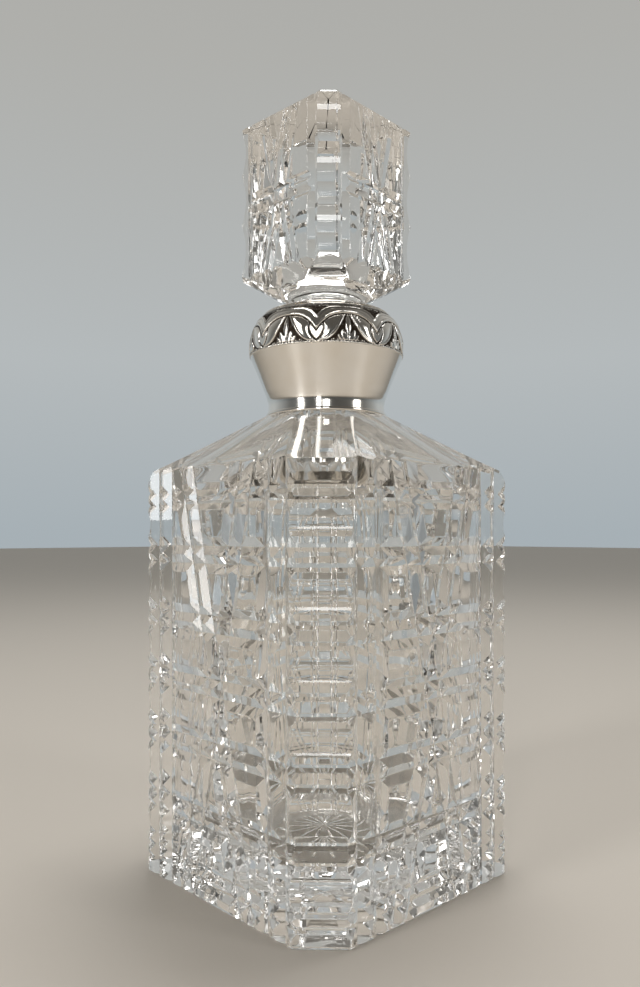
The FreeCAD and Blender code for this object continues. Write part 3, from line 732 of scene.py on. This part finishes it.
def maths(nodes, links, op, a, b=None, c=None, clamp=False):
    node = nodes.new("ShaderNodeMath")
    node.operation = op
    node.use_clamp = clamp
    for i, value in enumerate((a, b, c)):
        if value is None:
            continue
        if isinstance(value, (int, float)):
            node.inputs[i].default_value = value
        else:
            links.new(value, node.inputs[i])
    return node.outputs[0]


def noise(nodes, links, vector, scale, detail=3.0, rough=0.5):
    node = nodes.new("ShaderNodeTexNoise")
    node.inputs["Scale"].default_value = scale
    node.inputs["Detail"].default_value = detail
    node.inputs["Roughness"].default_value = rough
    links.new(vector, node.inputs["Vector"])
    return node.outputs["Fac"]


def mix(nodes, links, fac, a, b):
    node = nodes.new("ShaderNodeMix")
    node.data_type = "RGBA"
    for sock, value in ((node.inputs["Factor"], fac), (node.inputs[6], a), (node.inputs[7], b)):
        if isinstance(value, (int, float)):
            sock.default_value = value
        elif isinstance(value, tuple):
            sock.default_value = (*value, 1)
        else:
            links.new(value, sock)
    return node.outputs[2]


def silver_material(name, oxide=False, polish=0.07):
    """Hand-polished silver: hair-fine rubbing marks round the axis, soft tarnish, and oxide where the relief lies low."""
    mat, nodes, links, shader = node_material(name)
    shader.inputs["Metallic"].default_value = 1.0
    coords = nodes.new("ShaderNodeTexCoord").outputs["Object"]
    split = nodes.new("ShaderNodeSeparateXYZ")
    links.new(coords, split.inputs["Vector"])
    radius = maths(nodes, links, "SQRT", maths(nodes, links, "ADD", maths(nodes, links, "MULTIPLY", split.outputs["X"], split.outputs["X"]),
                                               maths(nodes, links, "MULTIPLY", split.outputs["Y"], split.outputs["Y"])))
    rub = nodes.new("ShaderNodeCombineXYZ")
    links.new(maths(nodes, links, "MULTIPLY", radius, 5200.0), rub.inputs["X"])
    links.new(maths(nodes, links, "MULTIPLY", split.outputs["Z"], 5200.0), rub.inputs["Y"])
    links.new(maths(nodes, links, "MULTIPLY", maths(nodes, links, "ARCTAN2", split.outputs["Y"], split.outputs["X"]), 6.0), rub.inputs["Z"])
    marks = noise(nodes, links, rub.outputs["Vector"], 1.0, 2.0)
    cloud = noise(nodes, links, coords, 120.0, 4.0)
    fine = noise(nodes, links, coords, 900.0, 2.0)
    tone = mix(nodes, links, maths(nodes, links, "MULTIPLY_ADD", cloud, 2.2, -0.75, clamp=True), (0.93, 0.90, 0.855), (0.87, 0.82, 0.74))
    rough = maths(nodes, links, "MULTIPLY_ADD", marks, 0.07, polish - 0.03)
    rough = maths(nodes, links, "MULTIPLY_ADD", cloud, 0.05, maths(nodes, links, "SUBTRACT", rough, 0.025))
    if oxide:
        layer = nodes.new("ShaderNodeAttribute")
        layer.attribute_name = "oxide"
        broken = maths(nodes, links, "MULTIPLY_ADD", fine, 0.5, maths(nodes, links, "MULTIPLY_ADD", layer.outputs["Fac"], 1.45, -0.28), clamp=True)
        tone = mix(nodes, links, broken, tone, (0.042, 0.031, 0.022))
        rough = maths(nodes, links, "MULTIPLY_ADD", broken, 0.38, rough)
    links.new(tone, shader.inputs["Base Color"])
    links.new(rough, shader.inputs["Roughness"])
    bump = nodes.new("ShaderNodeBump")
    bump.inputs["Strength"].default_value = 0.10 if oxide else 0.045
    bump.inputs["Distance"].default_value = 0.00003
    links.new(maths(nodes, links, "ADD", marks, maths(nodes, links, "MULTIPLY", fine, 0.6)), bump.inputs["Height"])
    links.new(bump.outputs["Normal"], shader.inputs["Normal"])
    return mat


def plaster_material():
    mat, nodes, links, shader = node_material("plaster_set")
    coords = nodes.new("ShaderNodeTexCoord").outputs["Object"]
    cloud = noise(nodes, links, coords, 260.0, 5.0)
    grains = noise(nodes, links, coords, 1500.0, 2.0)
    links.new(mix(nodes, links, cloud, (0.60, 0.56, 0.48), (0.84, 0.81, 0.75)), shader.inputs["Base Color"])
    links.new(maths(nodes, links, "MULTIPLY_ADD", cloud, 0.2, 0.72), shader.inputs["Roughness"])
    bump = nodes.new("ShaderNodeBump")
    bump.inputs["Strength"].default_value = 0.5
    bump.inputs["Distance"].default_value = 0.0002
    links.new(grains, bump.inputs["Height"])
    links.new(bump.outputs["Normal"], shader.inputs["Normal"])
    return mat


assign(body, glass_material("crystal_body", 157.5, 186.0, 82.6))
assign(stop, glass_material("crystal_stopper", 161.0, 187.2, 38.6))
silver = silver_material("silver_polished", polish=0.11)
silver_dark = silver_material("silver_oxidised", oxide=True, polish=0.10)
for obj, node, mat, slot in ((build_skirt(), "collar_skirt", silver, "silver"),
                             (build_foot_wire(), "collar_foot_wire", silver, "silver"),
                             (build_lip(), "collar_lip", silver, "silver"),
                             (build_band(), "collar_band", silver_dark, "silver_oxidised"),
                             (build_bedding(), "bedding_plaster", plaster_material(), "plaster")):
    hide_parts(node)
    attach(obj, "bottle")
    assign(obj, mat)

# ------------------------------------------------------------------ floor, light and camera
AZ = math.radians(46.4)


def place(bearing, distance, z):
    """A point seen from the object at a bearing from the camera's side (degrees, + to the camera's right)."""
    a = AZ + math.radians(bearing)
    return (distance * math.sin(a), -distance * math.cos(a), z)


# one plain pale floor
floor = new_object("floor_plain", [(x, y, -0.0002) for x, y in ((-6, -6), (6, -6), (6, 6), (-6, 6))], [(0, 1, 2, 3)])
mat, nodes, links, shader = node_material("floor_plain")
shader.inputs["Base Color"].default_value = (0.82, 0.75, 0.66, 1)
shader.inputs["Roughness"].default_value = 0.5
assign(floor, mat)

world = bpy.data.worlds.new("studio")
scene.world = world
world.use_nodes = True
wn, wl = world.node_tree.nodes, world.node_tree.links
background = wn["Background"]


def ramp(fac, stops):
    node = wn.new("ShaderNodeValToRGB")
    els = node.color_ramp.elements
    while len(els) < len(stops):
        els.new(0.5)
    for el, (pos, col) in zip(els, stops):
        el.position = pos
        el.color = (*col, 1)
    wl.new(fac, node.inputs["Fac"])
    return node.outputs["Color"]


# plain soft studio light: a pale backdrop that falls off gently towards the camera's side, the same for every ray
wc = wn.new("ShaderNodeTexCoord")
ws = wn.new("ShaderNodeSeparateXYZ")
wl.new(wc.outputs["Generated"], ws.inputs["Vector"])
toward = maths(wn, wl, "MULTIPLY_ADD", ws.outputs["X"], math.sin(AZ), maths(wn, wl, "MULTIPLY", ws.outputs["Y"], -math.cos(AZ)))
height = maths(wn, wl, "MULTIPLY_ADD", ws.outputs["Z"], 0.5, 0.5)
wall = ramp(height, [(0.0, (0.385, 0.435, 0.465)), (0.5, (0.385, 0.435, 0.465)), (0.60, (0.46, 0.49, 0.50)), (0.75, (0.43, 0.43, 0.41)), (1.0, (0.36, 0.35, 0.33))])
fall = ramp(maths(wn, wl, "MULTIPLY_ADD", toward, 0.5, 0.5), [(0.0, (1.0, 1.0, 1.0)), (0.22, (1.0, 1.0, 1.0)), (0.62, (0.30, 0.29, 0.28)), (1.0, (0.16, 0.15, 0.14))])
shade = wn.new("ShaderNodeMix")
shade.data_type = "RGBA"
shade.blend_type = "MULTIPLY"
shade.inputs["Factor"].default_value = 1.0
wl.new(wall, shade.inputs[6])
wl.new(fall, shade.inputs[7])
wl.new(shade.outputs[2], background.inputs["Color"])
background.inputs["Strength"].default_value = 1.0


def area(name, where, aim, size, power, colour=(1, 1, 1)):
    light = bpy.data.lights.new(name, "AREA")
    light.shape = "RECTANGLE"
    light.size, light.size_y = size
    light.energy = power
    light.color = colour
    obj = bpy.data.objects.new(name, light)
    obj.location = where
    obj.rotation_euler = (Vector(aim) - Vector(where)).to_track_quat("-Z", "Y").to_euler()
    obj.visible_camera = False
    scene.collection.objects.link(obj)
    return obj


# soft boxes: two tall ones at the left, one in front, one at the right and one overhead
area("box_left", place(-50, 1.3, 0.54), (0, 0, 0.12), (0.22, 0.84), 5.0)
area("box_middle", place(-14.5, 1.3, 0.46), (0, 0, 0.12), (0.14, 0.8), 2.0)
area("box_front", place(0, 1.2, 0.46), (0, 0, 0.12), (0.22, 0.14), 0.9)
area("box_right", place(62, 1.2, 0.55), (0, 0, 0.12), (0.30, 0.5), 2.0)
area("box_top", place(150, 0.35, 1.3), (0, 0, 0.0), (0.7, 0.4), 5.0)

DIST, CAM_Z, FOCAL_PX, X0, YH = 0.281, 0.1130, 820.0, 326.3, 533.6
cam_data = bpy.data.cameras.new("camera")
cam = bpy.data.objects.new("camera", cam_data)
scene.collection.objects.link(cam)
cam.location = (DIST * math.sin(AZ), -DIST * math.cos(AZ), CAM_Z)
cam.rotation_euler = (math.radians(90), 0, AZ)
cam_data.sensor_fit = "VERTICAL"
cam_data.sensor_height = 36.0
cam_data.sensor_width = 36.0 * 640 / 987
cam_data.lens = FOCAL_PX / 987 * 36.0
cam_data.shift_x = (320 - X0) / 987
cam_data.shift_y = (YH - 493.5) / 987
cam_data.clip_start = 0.01
scene.camera = cam

scene.view_settings.view_transform = "Standard"
scene.view_settings.look = "None"
scene.view_settings.exposure = 0.0
scene.cycles.max_bounces = 32
scene.cycles.transmission_bounces = 32
scene.cycles.glossy_bounces = 12
scene.cycles.diffuse_bounces = 3
scene.cycles.transparent_max_bounces = 16
